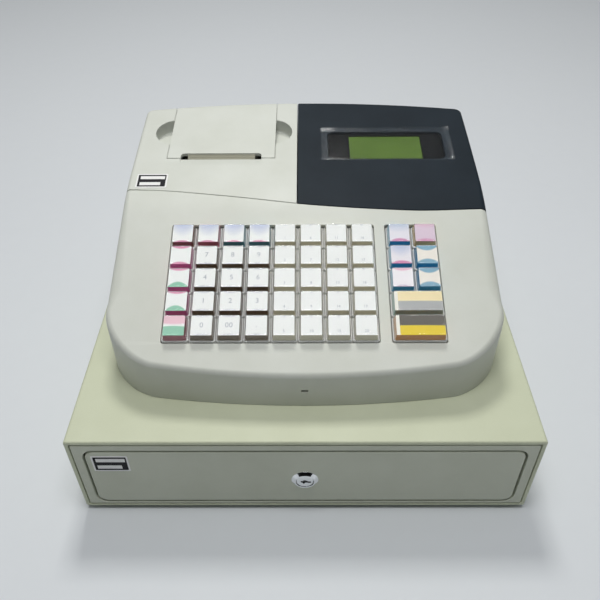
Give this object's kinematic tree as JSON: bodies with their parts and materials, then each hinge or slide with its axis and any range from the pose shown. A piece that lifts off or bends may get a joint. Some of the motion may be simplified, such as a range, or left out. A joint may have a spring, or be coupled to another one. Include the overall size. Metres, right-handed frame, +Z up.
{
  "type": "cash register on a cash drawer",
  "caption": "Electronic cash register: sloping keyboard, receipt printer with hinged lid and display hood, standing on a sliding steel cash drawer with a lock.",
  "frame": {"origin": "on the floor, under the middle of the whole object's box", "axes": "+Z up, +Y from the front towards the rear, +X to the right seen from the front"},
  "size_m": [0.332, 0.348, 0.1862],
  "materials": {
    "drawer_paint": "fine-textured cream powder coat",
    "front_paint": "fine-textured cream powder coat",
    "tray_steel": "galvanised sheet",
    "black_plastic": "satin moulded",
    "grey_plastic": "satin moulded",
    "lock_chrome": "polished",
    "foot_rubber": "matt",
    "case_plastic": "finely textured cream moulding",
    "hood_plastic": "finely textured slate moulding",
    "window_clear": "clear polished",
    "roller_rubber": "ground rubber",
    "roll_paper": "smooth thermal paper",
    "board_green": "lacquered circuit board",
    "key_maroon": "clear cap over a dark maroon body",
    "key_rose": "clear cap over a rose body",
    "key_teal": "clear cap over a blue-teal body",
    "key_magenta": "clear cap over a magenta body",
    "key_pink": "clear cap over a dusty pink body",
    "key_brown": "clear cap over a dark brown body",
    "key_olive": "clear cap over an olive-beige body",
    "key_blue": "clear cap over a blue body",
    "key_tan": "clear cap over a tan body",
    "key_slate": "clear cap over a slate body",
    "key_copper": "clear cap over a copper-brown body"
  },
  "bodies": {
    "register": {"drawer_housing": "drawer_paint", "front_frame": "front_paint", "drawer_latch": "tray_steel", "foot_front_left": "foot_rubber", "foot_front_right": "foot_rubber", "foot_rear_left": "foot_rubber", "foot_rear_right": "foot_rubber", "base_case": "case_plastic", "keyboard_cover": "case_plastic", "printer_cover": "case_plastic", "display_hood": "hood_plastic", "display_window": "window_clear", "display_module": "black_plastic", "printer_unit": "black_plastic", "main_board": "board_green", "key_frame": "grey_plastic"},
    "drawer": {"drawer_front": "front_paint", "drawer_tray": "tray_steel", "cash_insert": "black_plastic", "lock_bezel": "lock_chrome"},
    "paper_lid": {"paper_lid": "case_plastic"},
    "lock_cylinder": {"lock_cylinder": "lock_chrome"},
    "note_clip_1": {"note_clip_1": "grey_plastic"},
    "note_clip_2": {"note_clip_2": "grey_plastic"},
    "note_clip_3": {"note_clip_3": "grey_plastic"},
    "note_clip_4": {"note_clip_4": "grey_plastic"},
    "paper_roll": {"paper_roll": "roll_paper"},
    "platen_roller": {"platen_roller": "roller_rubber"},
    "key_row1_1": {"key_row1_1": "key_maroon"},
    "key_row1_2": {"key_row1_2": "key_rose"},
    "key_row1_3": {"key_row1_3": "key_teal"},
    "key_row1_4": {"key_row1_4": "key_teal"},
    "key_row2_1": {"key_row2_1": "key_magenta"},
    "key_row2_2": {"key_row2_2": "key_brown"},
    "key_row2_3": {"key_row2_3": "key_brown"},
    "key_row2_4": {"key_row2_4": "key_brown"},
    "key_row3_1": {"key_row3_1": "key_magenta"},
    "key_row3_2": {"key_row3_2": "key_brown"},
    "key_row3_3": {"key_row3_3": "key_brown"},
    "key_row3_4": {"key_row3_4": "key_brown"},
    "key_row4_1": {"key_row4_1": "key_magenta"},
    "key_row4_2": {"key_row4_2": "key_brown"},
    "key_row4_3": {"key_row4_3": "key_brown"},
    "key_row4_4": {"key_row4_4": "key_brown"},
    "key_row5_1": {"key_row5_1": "key_pink"},
    "key_row5_2": {"key_row5_2": "key_brown"},
    "key_row5_3": {"key_row5_3": "key_brown"},
    "key_row5_4": {"key_row5_4": "key_brown"},
    "key_column_5": {"key_column_5": "key_olive"},
    "key_column_6": {"key_column_6": "key_olive"},
    "key_column_7": {"key_column_7": "key_olive"},
    "key_column_8": {"key_column_8": "key_olive"},
    "side_key_1a": {"side_key_1a": "key_blue"},
    "side_key_1b": {"side_key_1b": "key_tan"},
    "side_key_2a": {"side_key_2a": "key_blue"},
    "side_key_2b": {"side_key_2b": "key_blue"},
    "side_key_3a": {"side_key_3a": "key_blue"},
    "side_key_3b": {"side_key_3b": "key_blue"},
    "wide_key_4": {"wide_key_4": "key_slate"},
    "wide_key_5": {"wide_key_5": "key_copper"}
  },
  "joints": [
    {"name": "drawer_slide", "type": "slide", "parent": "register", "child": "drawer", "axis": [0, -1, 0], "range_m": [0, 0.25]},
    {"name": "paper_lid_hinge", "type": "hinge", "parent": "register", "child": "paper_lid", "pos_m": [-0.06965, 0.1344, 0.17656], "axis": [-1, 0, 0], "range_deg": [0, 95]},
    {"name": "lock_turn", "type": "hinge", "parent": "drawer", "child": "lock_cylinder", "pos_m": [0, -0.172, 0.0386], "axis": [0, -1, 0], "range_deg": [0, 90]},
    {"name": "note_clip_1_hinge", "type": "hinge", "parent": "drawer", "child": "note_clip_1", "pos_m": [-0.1104, 0.1314, 0.0518], "axis": [-1, 0, 0], "range_deg": [0, 44], "stiffness_Nm_per_rad": 0.02, "springref_deg": -17.19},
    {"name": "note_clip_2_hinge", "type": "hinge", "parent": "drawer", "child": "note_clip_2", "pos_m": [-0.0368, 0.1314, 0.0518], "axis": [-1, 0, 0], "range_deg": [0, 44], "stiffness_Nm_per_rad": 0.02, "springref_deg": -17.19},
    {"name": "note_clip_3_hinge", "type": "hinge", "parent": "drawer", "child": "note_clip_3", "pos_m": [0.0368, 0.1314, 0.0518], "axis": [-1, 0, 0], "range_deg": [0, 44], "stiffness_Nm_per_rad": 0.02, "springref_deg": -17.19},
    {"name": "note_clip_4_hinge", "type": "hinge", "parent": "drawer", "child": "note_clip_4", "pos_m": [0.1104, 0.1314, 0.0518], "axis": [-1, 0, 0], "range_deg": [0, 44], "stiffness_Nm_per_rad": 0.02, "springref_deg": -17.19},
    {"name": "paper_roll_spin", "type": "hinge", "parent": "register", "child": "paper_roll", "pos_m": [-0.06965, 0.088, 0.15237], "axis": [1, 0, 0], "continuous": true},
    {"name": "platen_spin", "type": "hinge", "parent": "register", "child": "platen_roller", "pos_m": [-0.06965, 0.052, 0.16248], "axis": [1, 0, 0], "continuous": true},
    {"name": "key_row1_1_press", "type": "slide", "parent": "register", "child": "key_row1_1", "axis": [0, 0.3535, -0.9354], "range_m": [0, 0.0035], "stiffness_N_per_m": 150, "springref_m": -0.002},
    {"name": "key_row1_2_press", "type": "slide", "parent": "register", "child": "key_row1_2", "axis": [0, 0.3535, -0.9354], "range_m": [0, 0.0035], "stiffness_N_per_m": 150, "springref_m": -0.002},
    {"name": "key_row1_3_press", "type": "slide", "parent": "register", "child": "key_row1_3", "axis": [0, 0.3535, -0.9354], "range_m": [0, 0.0035], "stiffness_N_per_m": 150, "springref_m": -0.002},
    {"name": "key_row1_4_press", "type": "slide", "parent": "register", "child": "key_row1_4", "axis": [0, 0.3535, -0.9354], "range_m": [0, 0.0035], "stiffness_N_per_m": 150, "springref_m": -0.002},
    {"name": "key_row2_1_press", "type": "slide", "parent": "register", "child": "key_row2_1", "axis": [0, 0.3535, -0.9354], "range_m": [0, 0.0035], "stiffness_N_per_m": 150, "springref_m": -0.002},
    {"name": "key_row2_2_press", "type": "slide", "parent": "register", "child": "key_row2_2", "axis": [0, 0.3535, -0.9354], "range_m": [0, 0.0035], "stiffness_N_per_m": 150, "springref_m": -0.002},
    {"name": "key_row2_3_press", "type": "slide", "parent": "register", "child": "key_row2_3", "axis": [0, 0.3535, -0.9354], "range_m": [0, 0.0035], "stiffness_N_per_m": 150, "springref_m": -0.002},
    {"name": "key_row2_4_press", "type": "slide", "parent": "register", "child": "key_row2_4", "axis": [0, 0.3535, -0.9354], "range_m": [0, 0.0035], "stiffness_N_per_m": 150, "springref_m": -0.002},
    {"name": "key_row3_1_press", "type": "slide", "parent": "register", "child": "key_row3_1", "axis": [0, 0.3535, -0.9354], "range_m": [0, 0.0035], "stiffness_N_per_m": 150, "springref_m": -0.002},
    {"name": "key_row3_2_press", "type": "slide", "parent": "register", "child": "key_row3_2", "axis": [0, 0.3535, -0.9354], "range_m": [0, 0.0035], "stiffness_N_per_m": 150, "springref_m": -0.002},
    {"name": "key_row3_3_press", "type": "slide", "parent": "register", "child": "key_row3_3", "axis": [0, 0.3535, -0.9354], "range_m": [0, 0.0035], "stiffness_N_per_m": 150, "springref_m": -0.002},
    {"name": "key_row3_4_press", "type": "slide", "parent": "register", "child": "key_row3_4", "axis": [0, 0.3535, -0.9354], "range_m": [0, 0.0035], "stiffness_N_per_m": 150, "springref_m": -0.002},
    {"name": "key_row4_1_press", "type": "slide", "parent": "register", "child": "key_row4_1", "axis": [0, 0.3535, -0.9354], "range_m": [0, 0.0035], "stiffness_N_per_m": 150, "springref_m": -0.002},
    {"name": "key_row4_2_press", "type": "slide", "parent": "register", "child": "key_row4_2", "axis": [0, 0.3535, -0.9354], "range_m": [0, 0.0035], "stiffness_N_per_m": 150, "springref_m": -0.002},
    {"name": "key_row4_3_press", "type": "slide", "parent": "register", "child": "key_row4_3", "axis": [0, 0.3535, -0.9354], "range_m": [0, 0.0035], "stiffness_N_per_m": 150, "springref_m": -0.002},
    {"name": "key_row4_4_press", "type": "slide", "parent": "register", "child": "key_row4_4", "axis": [0, 0.3535, -0.9354], "range_m": [0, 0.0035], "stiffness_N_per_m": 150, "springref_m": -0.002},
    {"name": "key_row5_1_press", "type": "slide", "parent": "register", "child": "key_row5_1", "axis": [0, 0.3535, -0.9354], "range_m": [0, 0.0035], "stiffness_N_per_m": 150, "springref_m": -0.002},
    {"name": "key_row5_2_press", "type": "slide", "parent": "register", "child": "key_row5_2", "axis": [0, 0.3535, -0.9354], "range_m": [0, 0.0035], "stiffness_N_per_m": 150, "springref_m": -0.002},
    {"name": "key_row5_3_press", "type": "slide", "parent": "register", "child": "key_row5_3", "axis": [0, 0.3535, -0.9354], "range_m": [0, 0.0035], "stiffness_N_per_m": 150, "springref_m": -0.002},
    {"name": "key_row5_4_press", "type": "slide", "parent": "register", "child": "key_row5_4", "axis": [0, 0.3535, -0.9354], "range_m": [0, 0.0035], "stiffness_N_per_m": 150, "springref_m": -0.002},
    {"name": "key_column_5_press", "type": "slide", "parent": "register", "child": "key_column_5", "axis": [0, 0.3535, -0.9354], "range_m": [0, 0.0035], "stiffness_N_per_m": 450, "springref_m": -0.002},
    {"name": "key_column_6_press", "type": "slide", "parent": "register", "child": "key_column_6", "axis": [0, 0.3535, -0.9354], "range_m": [0, 0.0035], "stiffness_N_per_m": 450, "springref_m": -0.002},
    {"name": "key_column_7_press", "type": "slide", "parent": "register", "child": "key_column_7", "axis": [0, 0.3535, -0.9354], "range_m": [0, 0.0035], "stiffness_N_per_m": 450, "springref_m": -0.002},
    {"name": "key_column_8_press", "type": "slide", "parent": "register", "child": "key_column_8", "axis": [0, 0.3535, -0.9354], "range_m": [0, 0.0035], "stiffness_N_per_m": 450, "springref_m": -0.002},
    {"name": "side_key_1a_press", "type": "slide", "parent": "register", "child": "side_key_1a", "axis": [0, 0.3535, -0.9354], "range_m": [0, 0.0035], "stiffness_N_per_m": 150, "springref_m": -0.002},
    {"name": "side_key_1b_press", "type": "slide", "parent": "register", "child": "side_key_1b", "axis": [0, 0.3535, -0.9354], "range_m": [0, 0.0035], "stiffness_N_per_m": 150, "springref_m": -0.002},
    {"name": "side_key_2a_press", "type": "slide", "parent": "register", "child": "side_key_2a", "axis": [0, 0.3535, -0.9354], "range_m": [0, 0.0035], "stiffness_N_per_m": 150, "springref_m": -0.002},
    {"name": "side_key_2b_press", "type": "slide", "parent": "register", "child": "side_key_2b", "axis": [0, 0.3535, -0.9354], "range_m": [0, 0.0035], "stiffness_N_per_m": 150, "springref_m": -0.002},
    {"name": "side_key_3a_press", "type": "slide", "parent": "register", "child": "side_key_3a", "axis": [0, 0.3535, -0.9354], "range_m": [0, 0.0035], "stiffness_N_per_m": 150, "springref_m": -0.002},
    {"name": "side_key_3b_press", "type": "slide", "parent": "register", "child": "side_key_3b", "axis": [0, 0.3535, -0.9354], "range_m": [0, 0.0035], "stiffness_N_per_m": 150, "springref_m": -0.002},
    {"name": "wide_key_4_press", "type": "slide", "parent": "register", "child": "wide_key_4", "axis": [0, 0.3535, -0.9354], "range_m": [0, 0.0035], "stiffness_N_per_m": 220, "springref_m": -0.002},
    {"name": "wide_key_5_press", "type": "slide", "parent": "register", "child": "wide_key_5", "axis": [0, 0.3535, -0.9354], "range_m": [0, 0.0035], "stiffness_N_per_m": 220, "springref_m": -0.002}
  ],
  "couplings": [
    {"joint": "platen_spin", "follows": "paper_roll_spin", "ratio": 4}
  ]
}
